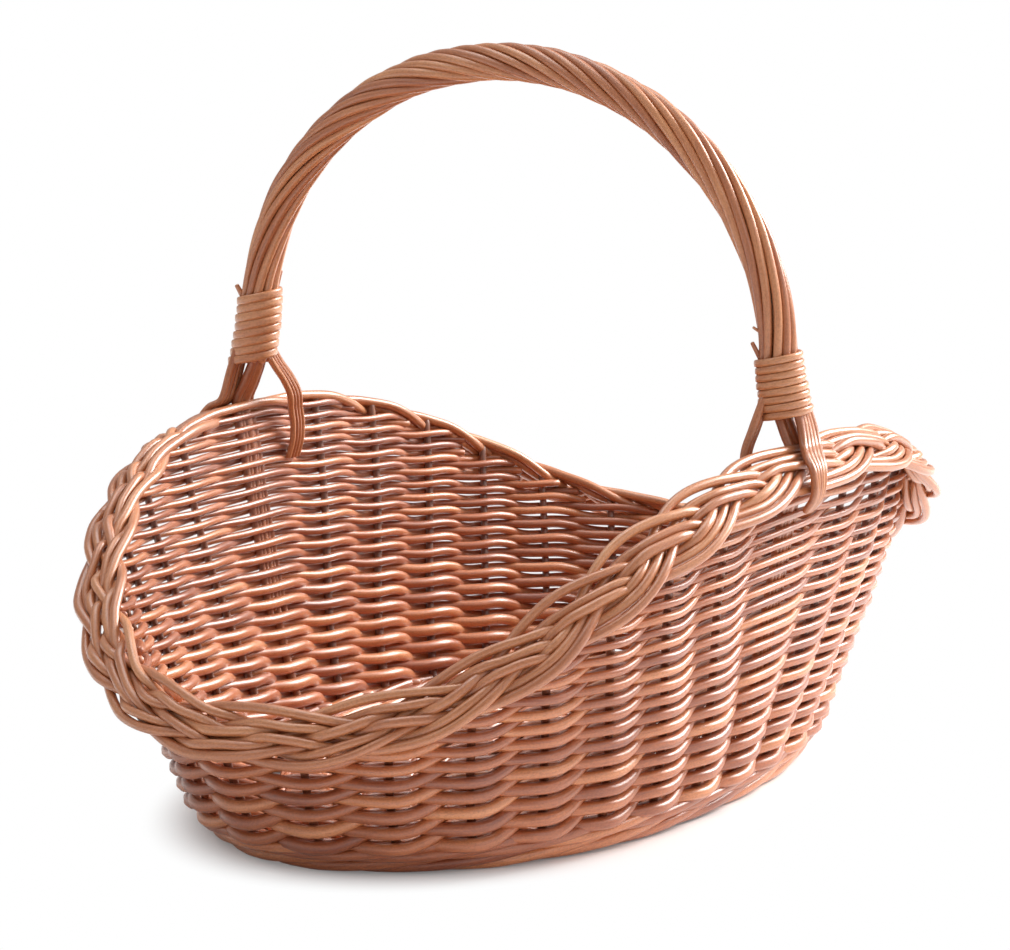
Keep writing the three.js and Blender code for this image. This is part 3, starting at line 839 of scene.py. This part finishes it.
def wale_strand(rope, number):
    """One rod of a rope, once round the foot and a little further, pressed flatter underneath."""
    place = np.linspace(0, STAKE_COUNT + WALE_OVERLAP, STAKE_COUNT * WALE_STEPS)
    angle = place_angle(place)
    turn = TURN * (place / WALE_SPACES + number / WALE_STRANDS)
    outward = wall_outward(angle, 0.0)
    centre = wall_point(angle, rope["wall"]) + outward * rope["out"]
    centre[:, 2] = rope["height"]
    along = place * SPACE_LENGTH
    lay = uneven(rope["lay"], along, "wale_lay")
    squeeze = np.where(np.sin(turn) < 0, WALE_SQUEEZE, 1.0)
    points = centre + outward * (lay * np.cos(turn))[:, None]
    points[:, 2] += lay * np.sin(turn) * squeeze
    radial = outward * np.cos(turn)[:, None] + UP * np.sin(turn)[:, None]
    return sweep(points, uneven(rope["radius"], along, "wale"), radial, sides=10)


def build_wale():
    if WALE_STRANDS * STAKE_COUNT % WALE_SPACES:
        raise ValueError("each wale strand has to end where one starts")
    parts = [wale_strand(rope, number) for rope in WALE_ROPES for number in range(WALE_STRANDS)]
    add_piece("foot_wale_rods", parts, "wall_willow", "foot_wale")


# Plaited border

def beside(place, stretch):
    """One at the middle of a stretch of the border, falling to nothing on both sides of it."""
    middle, reach = STRETCHES[stretch]
    distance = (np.asarray(place) - middle + STAKE_COUNT / 2) % STAKE_COUNT - STAKE_COUNT / 2
    return np.exp(-(distance / reach) ** 2)


def plait_phase(place, number):
    """Where a strand is in its crossing: 0 at the inner edge, half a turn at the outer one."""
    u = TURN * ((place + PLAIT_SHIFT) / PLAIT_SPACES + number / PLAIT_STRANDS)
    skew = PLAIT_SKEW + (NEAR_END_SKEW - PLAIT_SKEW) * beside(place, "near_end")
    return u + skew * (np.cos(u) - 1)


def plait_lines():
    """The border's rods in the plait's own coordinates, along, sideways and lift, eased apart."""
    place = np.arange(STAKE_COUNT * PLAIT_STEPS) / PLAIT_STEPS
    near_end = beside(place, "near_end")
    front = beside(place, "front")
    spread = PLAIT_SPREAD + NEAR_END_SPREAD * np.maximum(near_end, beside(place, "left_side"))
    pitch = PLAIT_ROD_PITCH * (1 + NEAR_END_OPEN * near_end)
    lines = []
    for number in range(PLAIT_STRANDS):
        phase = plait_phase(place, number)
        lift = PLAIT_LIFT * np.sin(2 * phase)
        middle = np.stack([place * PLAIT_SPACING, -spread * np.cos(phase), lift], axis=1)
        aside = unit(np.cross(UP, unit(np.gradient(middle, axis=0))))
        inner = smoothstep(np.cos(phase), 0.1, 1.0)
        outer = smoothstep(-np.cos(phase), 0.2, 1.0)
        for rod in range(PLAIT_RODS):
            line = middle + aside * (pitch * (rod - (PLAIT_RODS - 1) / 2))[:, None]
            if rod == 0:
                loose = inner * np.maximum(front, LOOSE_AT_NEAR_END * near_end)
                line[:, 1] -= LOOSE_INWARD * loose
                line[:, 2] += LOOSE_LIFT * loose
            if rod == PLAIT_RODS - 1:
                line[:, 1] += LOOSE_OUTWARD * outer * np.maximum(near_end, LOOSE_AT_FRONT * front)
            line[:, 1] += stray(line[:, 0], "border")
            lines.append(line)
    return ease_apart(np.array(lines))


def further_along(lines, shift):
    """The same closed rods, each point taken some steps further along."""
    moved = np.roll(lines, -shift, axis=1)
    if shift > 0:
        moved[:, -shift:, 0] += PLAIT_RING
    elif shift < 0:
        moved[:, :-shift, 0] -= PLAIT_RING
    return moved


def ease_apart(lines):
    """Pushes rods that sink into each other apart, a little in each round, and keeps each one smooth."""
    wanted = 2 * PLAIT_ROD_RADIUS
    own = np.arange(len(lines))
    for _ in range(EASE_ROUNDS):
        lines[:, :, 2] *= EASE_FLATTENING
        push = np.zeros_like(lines)
        for shift in range(-EASE_REACH, EASE_REACH + 1):
            gap = lines[:, None] - further_along(lines, shift)[None]
            distance = np.linalg.norm(gap, axis=-1)
            overlap = np.clip(wanted - distance, 0, None)
            overlap[own, own] = 0
            away = gap / np.maximum(distance, 1e-6)[..., None]
            push += EASE_PUSH * (away * overlap[..., None]).sum(axis=1)
        push[..., 1] *= EASE_SIDEWAYS
        lines = (lines + EASE_SHARED * np.roll(push, 1, axis=1) + (1 - 2 * EASE_SHARED) * push
                 + EASE_SHARED * np.roll(push, -1, axis=1))
        both_sides = further_along(lines, 1) + further_along(lines, -1)
        lines = (1 - 2 * EASE_SMOOTHING) * lines + EASE_SMOOTHING * both_sides
    return lines


def plait_frame(place):
    """Middle of the plait at a place on the rim, and its directions across and up."""
    angle = place_angle(place)
    height = rim_height(angle)
    near_end = beside(place, "near_end")
    left_side = beside(place, "left_side")
    outward = wall_outward(angle, height)
    out = PLAIT_OUT + NEAR_END_OUT * near_end - LEFT_SIDE_INWARD * left_side
    centre = wall_point(angle, height) + outward * out[..., None]
    centre[..., 2] -= PLAIT_DROP + NEAR_END_DROP * near_end
    centre[..., 2] -= FAR_SIDE_DROP * beside(place, "far_side")
    tilt = PLAIT_TILT + NEAR_END_TILT * near_end + LEFT_SIDE_TILT * left_side
    cosine, sine = np.cos(tilt)[..., None], np.sin(tilt)[..., None]
    return centre, outward * cosine - UP * sine, outward * sine + UP * cosine


def hidden_start(number):
    """The step at which a strand lies lowest under the others, where its rods start and end."""
    period = int(PLAIT_SPACES * PLAIT_STEPS)
    place = np.arange(period) / PLAIT_STEPS
    return int(np.argmin(np.sin(2 * plait_phase(place, number))))


def build_border():
    lines = plait_lines()
    for number in range(PLAIT_STRANDS):
        parts = []
        start = hidden_start(number)
        for line in lines[number * PLAIT_RODS:(number + 1) * PLAIT_RODS]:
            line = np.vstack([line[start:], line[:start + 1] + [PLAIT_RING, 0, 0]])
            centre, across, lift = plait_frame(line[:, 0] / PLAIT_SPACING)
            points = centre + across * line[:, 1:2] + lift * line[:, 2:]
            radius = uneven(PLAIT_ROD_RADIUS, run_lengths(points), "border")
            radius = radius * RANDOM.uniform(*SIZE_RANGES["border"])
            parts.append(sweep(points, radius, lift, sides=10))
        add_piece(f"border_strand_{number + 1}", parts, "rod_willow", f"border_plait_strand_{number + 1}")


# Handle

def foot_lean(height):
    """How far a limb of the handle has moved outwards, low down in its binding."""
    return FOOT_LEAN * (1 - smoothstep(height, FOOT_RIM + LEAN_BOTTOM, FOOT_RIM + LEAN_TOP))


def limb_bottom(name):
    """Where the rope starts, hidden inside the foot of a binding."""
    binding = BINDINGS[name]
    height = FOOT_RIM + binding["above_rim"] + ROPE_END_HIDDEN
    return [[HANDLE_X, HANDLE_Y + binding["side"] * LIMB_HALF_SPACING, height]]


def handle_line():
    """Middle line of the handle, from one binding's foot over the arch to the other's."""
    turn = np.linspace(0, math.pi, ARCH_SAMPLES)
    arch = np.stack([np.full(ARCH_SAMPLES, HANDLE_X), HANDLE_Y + LIMB_HALF_SPACING * np.cos(turn),
                     ARCH_FOOT + ARCH_RISE * np.sin(turn)], axis=1)
    line = evenly(np.vstack([limb_bottom("left"), arch, limb_bottom("right")]), HANDLE_SAMPLES)
    line[:, 1] += np.sign(line[:, 1] - HANDLE_Y) * foot_lean(line[:, 2])
    return line


def rope_rod(line, number):
    """One rod of the rope, which is twisted more at the top of the handle than near its feet."""
    share = np.linspace(0, 1, len(line))
    inward = np.cross(unit(np.gradient(line, axis=0)), LENGTHWISE)
    to_middle = np.array([HANDLE_X, HANDLE_Y, FOOT_RIM]) - line
    inward = inward * np.sign((inward * to_middle).sum(1))[:, None]
    twist = share - ROPE_TOP_TWIST * np.sin(TURN * share)
    turn = TURN * (number / ROPE_RODS - ROPE_TURNS * twist) + stray(share, "rope_turn")
    radial = LENGTHWISE * np.cos(turn)[:, None] + inward * np.sin(turn)[:, None]
    path_radius = uneven(ROPE_PATH_RADIUS, share, "rope_path")
    radius = uneven(ROPE_ROD_RADIUS, share, "rope") * RANDOM.uniform(*SIZE_RANGES["rope"])
    return sweep(line + radial * path_radius[:, None], radius, radial, sides=12)


def build_rope():
    line = handle_line()
    pieces = [[] for _ in range(ROPE_PIECES)]
    for number in range(ROPE_RODS):
        pieces[number * ROPE_PIECES // ROPE_RODS].append(rope_rod(line, number))
    pieces[0] += cut_ends("left") + cut_ends("right")
    for number, parts in enumerate(pieces, 1):
        add_piece(f"rope_rods_{number}", parts, "rod_willow", f"handle_rope_rod_{number}")


def foot_rod(side, shift, above_radius, wall_radius, bottom):
    """A rod that leaves the binding, goes down through the border and stands in the wall."""
    limb = HANDLE_Y + side * LIMB_HALF_SPACING
    heights = np.linspace(bottom, FOOT_RIM + FOOT_WALL_TOP, 5)
    wall = [wall_point(side * TURN / 4, height) + [shift, 0, 0] for height in heights]
    above = [[HANDLE_X + shift * share, limb + side * outwards, FOOT_RIM + rise]
             for share, outwards, rise in FOOT_ROUTE]
    path = curve_through([*wall, *above], FOOT_ROD_SAMPLES)
    thin_below, thick_above = FOOT_THICKENING
    thick = smoothstep(path[:, 2], FOOT_RIM + thin_below, FOOT_RIM + thick_above)
    radius = uneven(wall_radius + (above_radius - wall_radius) * thick, run_lengths(path), "foot_rod")
    # A tone from 0 to 0.35 paints these rods darker than the other rods: painted shade.
    return sweep(path, radius, LENGTHWISE, tone=RANDOM.uniform(0.0, 0.35), sides=10)


def build_bow():
    """The bow inside the rope, and the rods of both its feet."""
    parts = []
    for side in (1, -1):
        parts.append(foot_rod(side, 0.0, LEG_RADIUS, LEG_WALL_RADIUS, LEG_BOTTOM))
        for shift in FOOT_ROD_SHIFTS:
            wall_radius = RANDOM.uniform(*FOOT_ROD_WALL_RADII)
            bottom = RANDOM.uniform(*FOOT_ROD_BOTTOMS)
            parts.append(foot_rod(side, shift, FOOT_ROD_RADIUS, wall_radius, bottom))
    parts.append(sweep(handle_line(), BOW_RADIUS, LENGTHWISE, sides=10))
    add_piece("bow_and_feet", parts, "rod_willow", "handle_bow")


def cut_ends(name):
    """Short rod ends that stand out of the rope just above a binding."""
    binding = BINDINGS[name]
    top = FOOT_RIM + binding["above_rim"] + binding["length"]
    middle = np.array([HANDLE_X, HANDLE_Y + binding["side"] * LIMB_HALF_SPACING, top])
    parts = []
    for foot, tip, radius in CUT_ENDS[name]:
        path = evenly(np.array([middle + foot, middle + tip]), 8)
        parts.append(sweep(path, radius * np.linspace(1.0, 0.8, 8), LENGTHWISE))
    return parts


def build_binding(name):
    """One cane wound upwards round the rope, with turns that lean to one side."""
    binding = BINDINGS[name]
    bottom = FOOT_RIM + binding["above_rim"]
    pitch = binding["length"] / BINDING_TURNS
    share = np.linspace(0, 1, CANE_STEPS * BINDING_TURNS)
    turn = TURN * BINDING_TURNS * share + CANE_START
    height = bottom + pitch / 2 + (binding["length"] - pitch) * share
    rise = np.maximum(height - ARCH_FOOT, 0) / ARCH_RISE
    outwards = LIMB_HALF_SPACING * np.sqrt(1 - rise ** 2) + foot_lean(height)
    rope_radius = ROPE_PATH_RADIUS + ROPE_ROD_RADIUS
    radius = rope_radius + CANE_THICKNESS / 2 - CANE_SINK + binding["spread"] * (1 - share)
    radius = radius + stray(share, "cane")
    radial = np.stack([np.cos(turn), np.sin(turn), np.zeros_like(turn)], axis=1)
    centre = np.stack([np.full_like(turn, HANDLE_X), HANDLE_Y + binding["side"] * outwards,
                       height - CANE_LEAN * np.sin(turn)], axis=1)
    section = flat_section(pitch * CANE_SHARE, CANE_THICKNESS / 2, CANE_CORNER_STEPS)
    part = sweep(centre + radial * radius[:, None], 1.0, radial, section=section)
    add_piece(f"binding_{name}_cane", [part], "split_cane", f"handle_binding_{name}")


# Rope tails

def tail_point(side, what, shift, outwards, above):
    """A point at a handle foot, moved outwards and up from the limb, the plait or the wall at the rim."""
    if what == "limb":
        limb = HANDLE_Y + side * (LIMB_HALF_SPACING + outwards)
        return np.array([HANDLE_X + shift, limb, FOOT_RIM + above])
    if what == "plait":
        centre, across, lift = plait_frame(np.float64(LEFT_FOOT if side > 0 else RIGHT_FOOT))
        return centre + across * outwards + lift * above + [shift, 0, 0]
    angle = side * TURN / 4
    height = FOOT_RIM + above
    return wall_point(angle, height) + wall_normal(angle, height) * outwards + [shift, 0, 0]


def tail_rods(tail):
    """Rods side by side along a tail's route."""
    route = np.array([tail_point(tail["side"], what, *point)
                      for what in ("limb", "plait", "wall") for point in tail.get(what, ())])
    share = np.linspace(0, 1, len(route))
    spacing = np.interp(share, TAIL_SPACING_PLACES, tail["spacings"])[:, None] * LENGTHWISE
    taper = np.linspace(*TAIL_TAPER, ROD_SAMPLES)
    parts = []
    for number in range(tail["rods"]):
        path = curve_through(route + (number - (tail["rods"] - 1) / 2) * spacing, ROD_SAMPLES)
        radius = uneven(tail["radius"] * taper, run_lengths(path), "tail")
        parts.append(sweep(path, radius, LENGTHWISE, tone=RANDOM.uniform(0.1, 0.8)))
    return parts


def build_tails():
    for name, tail in TAILS.items():
        add_piece(f"tail_{name}_rods", tail_rods(tail), "rod_willow", f"rope_tail_{name}")


# Base

def mat_edge(angle):
    """The outer edge of the mat, inside the foot wale."""
    return wall_point(angle, 0.0) - wall_outward(angle, 0.0) * BASE_EDGE_INSET


MAT_MIDDLE = np.array([HANDLE_X, HANDLE_Y])
MAT_HALF_SIZE = np.array([mat_edge(0.0)[0] - HANDLE_X, mat_edge(TURN / 4)[1] - HANDLE_Y])
MAT_HALF_WIDTH = float(MAT_HALF_SIZE[1])


def mat_oval(angle, inset):
    """A point of the base on an oval that is smaller than the mat by an inset at its ends and its sides."""
    point = mat_edge(angle)
    scale = (MAT_HALF_SIZE - inset) / MAT_HALF_SIZE
    point[..., :2] = MAT_MIDDLE + (point[..., :2] - MAT_MIDDLE) * scale
    point[..., 2] = STICK_HEIGHT
    return point


def spoke_angles():
    """Oval angles of the short spokes, the same in all four quarters."""
    places = [mirrored for place in SPOKE_PLACES
              for mirrored in (place, RIGHT_FOOT - place, RIGHT_FOOT + place, STAKE_COUNT - place)]
    return list(place_angle(places))


def crossing_angles(inset):
    """Oval angles at which one round of the mat crosses the spokes, the long sticks and the cross sticks."""
    angles = [*spoke_angles(), *place_angle([STAKE_COUNT / 4, STAKE_COUNT * 3 / 4])]
    dense = TURN / 4 + np.linspace(0, TURN, BASE_SAMPLES + 1)[:-1]
    ring = mat_oval(dense, inset)
    for place in CROSS_STICK_PLACES:
        x = mat_oval(place_angle(place), 0.0)[0]
        for side in (1, -1):
            on_side = (ring[:, 1] - HANDLE_Y) * side > 0
            distance = np.where(on_side, np.abs(ring[:, 0] - x), np.inf)
            angles.append(dense[int(np.argmin(distance))])
    return np.sort(np.mod(np.array(angles), TURN))


def mat_round(number):
    """One round of the mat, over and under in turn. Two rounds together go the same way."""
    inset = number * BASE_RING_PITCH
    angles = crossing_angles(inset)
    crossings = len(angles)
    angles = np.append(angles, angles[0] + TURN)
    step = np.linspace(0, crossings, crossings * RING_STEPS + RING_EXTRA_STEPS)
    angle = np.interp(step, np.arange(crossings + 1), angles)
    sign = 1 if number // 2 % 2 == 0 else -1
    points = mat_oval(angle, inset)
    points[:, 2] += sign * BASE_SWING * np.cos(math.pi * step)
    return sweep(points, uneven(BASE_ROD_RADIUS, step * CROSSING_LENGTH, "mat"), UP, sides=7)


def build_mat():
    """The woven rounds and the short spokes between them."""
    rounds = int((MAT_HALF_WIDTH - BASE_MIDDLE_GAP) / BASE_RING_PITCH) + 1
    parts = [mat_round(number) for number in range(rounds)]
    for angle in spoke_angles():
        ends = [mat_oval(angle, SPOKE_EDGE_GAP), mat_oval(angle, MAT_HALF_WIDTH - SPOKE_MIDDLE_GAP)]
        path = evenly(np.array(ends), SPOKE_SAMPLES)
        parts.append(sweep(path, np.linspace(*SPOKE_RADII, SPOKE_SAMPLES), UP))
    add_piece("base_weavers", parts, "wall_willow", "base_weave_mat")


def build_stick(way, number, ends, radius, samples, sides):
    path = evenly(np.array(ends), samples)
    part = sweep(path, uneven(radius, run_lengths(path), "stick"), UP, sides=sides)
    add_piece(f"{way}_stick_rod_{number}", [part], "stake_willow", f"base_{way}_stick_{number}")


def build_sticks():
    """Four sticks across the base, and three along it."""
    for number, place in enumerate(CROSS_STICK_PLACES, 1):
        x, y = mat_oval(place_angle(place), STICK_EDGE_GAP)[:2]
        ends = [[x, 2 * HANDLE_Y - y, STICK_HEIGHT], [x, y, STICK_HEIGHT]]
        build_stick("cross", number, ends, CROSS_STICK_RADIUS, samples=30, sides=10)
    reach = float(mat_oval(0.0, STICK_EDGE_GAP)[0]) - HANDLE_X
    for number in range(1, LONG_STICK_COUNT + 1):
        y = HANDLE_Y + (number - (LONG_STICK_COUNT + 1) / 2) * LONG_STICK_PITCH
        ends = [[HANDLE_X - reach, y, STICK_HEIGHT], [HANDLE_X + reach, y, STICK_HEIGHT]]
        build_stick("long", number, ends, LONG_STICK_RADIUS, samples=40, sides=8)


# Camera, floor and light

def build_camera():
    data = bpy.data.cameras.new("photo_camera")
    data.sensor_fit = "HORIZONTAL"
    data.sensor_width = SENSOR_WIDTH
    data.lens = FOCAL_PIXELS * SENSOR_WIDTH / IMAGE_WIDTH
    data.shift_x = (IMAGE_WIDTH / 2 - PRINCIPAL_X) / IMAGE_WIDTH
    data.shift_y = (PRINCIPAL_Y - IMAGE_HEIGHT / 2) / IMAGE_WIDTH
    data.clip_end = CLIP_END
    camera = add_object("photo_camera", data)
    target = Vector((HANDLE_X, 0, VIEW_HEIGHT))
    back = Vector((-math.cos(VIEW_TURN) * math.cos(VIEW_DROP), -math.sin(VIEW_TURN) * math.cos(VIEW_DROP),
                   math.sin(VIEW_DROP)))
    camera.location = target + back * VIEW_DISTANCE
    camera.rotation_euler = (-back).to_track_quat("-Z", "Y").to_euler()
    bpy.context.scene.camera = camera


def floor_material():
    """White that keeps the basket's shadow and, for the camera, fades to plain white away from it."""
    material = bpy.data.materials.new("studio_floor")
    material.use_nodes = True
    tree = material.node_tree
    shader = tree.nodes["Principled BSDF"]
    white = (FLOOR_WHITE, FLOOR_WHITE, FLOOR_WHITE, 1)
    feed(tree, shader, {"Base Color": white, "Roughness": 0.9, "Specular IOR Level": 0.1})
    place = add_node(tree, "NewGeometry").outputs["Position"]
    oval = (1 / SHADOW_HALF_LENGTH, 1 / SHADOW_HALF_WIDTH, 0)
    squashed = add_node(tree, "VectorMath", {0: place, 1: oval}, operation="MULTIPLY").outputs["Vector"]
    distance = add_node(tree, "VectorMath", {0: squashed}, operation="LENGTH").outputs["Value"]
    span = {"From Min": 1.0, "From Max": SHADOW_FADE, "To Min": SHADOW_GLOW, "Value": distance}
    fade = add_node(tree, "MapRange", span, interpolation_type="SMOOTHSTEP").outputs["Result"]
    from_camera = add_node(tree, "LightPath").outputs["Is Camera Ray"]
    seen = add_node(tree, "Math", {0: fade, 1: from_camera}, operation="MULTIPLY").outputs["Value"]
    glow = add_node(tree, "Emission", {"Strength": 1.0}).outputs["Emission"]
    mix = add_node(tree, "MixShader", {"Fac": seen, 1: shader.outputs["BSDF"], 2: glow})
    feed(tree, tree.nodes["Material Output"], {"Surface": mix.outputs["Shader"]})
    return material


def build_floor():
    size = FLOOR_HALF_SIZE
    mesh = bpy.data.meshes.new("floor")
    corners = [(-size, -size, 0), (size, -size, 0), (size, size, 0), (-size, size, 0)]
    mesh.from_pydata(corners, [], [(0, 1, 2, 3)])
    mesh.materials.append(floor_material())
    floor = add_object("floor", mesh)


def build_lights():
    """Soft square lights that point at the basket."""
    for name, (position, size, power, colour) in LIGHTS.items():
        data = bpy.data.lights.new(name, "AREA")
        data.shape = "SQUARE"
        data.size = size
        data.energy = power
        data.color = colour
        lamp = add_object(name, data)
        lamp.location = position
        lamp.rotation_euler = (Vector(LIGHT_AIM) - Vector(position)).to_track_quat("-Z", "Y").to_euler()


def build_surroundings():
    """White all round, at full strength only where the camera looks at it."""
    world = bpy.data.worlds.new("studio")
    bpy.context.scene.world = world
    world.use_nodes = True
    tree = world.node_tree
    from_camera = add_node(tree, "LightPath").outputs["Is Camera Ray"]
    strength = add_node(tree, "MapRange", {"To Min": WORLD_STRENGTH, "To Max": 1.0, "Value": from_camera})
    background = {"Color": (1, 1, 1, 1), "Strength": strength.outputs["Result"]}
    feed(tree, tree.nodes["Background"], background)


bpy.context.scene.view_settings.view_transform = "Standard"
build_camera()
build_wall()
build_stakes()
build_wale()
build_border()
build_rope()
build_bow()
build_binding("left")
build_binding("right")
build_tails()
build_mat()
build_sticks()
build_floor()
build_surroundings()
build_lights()
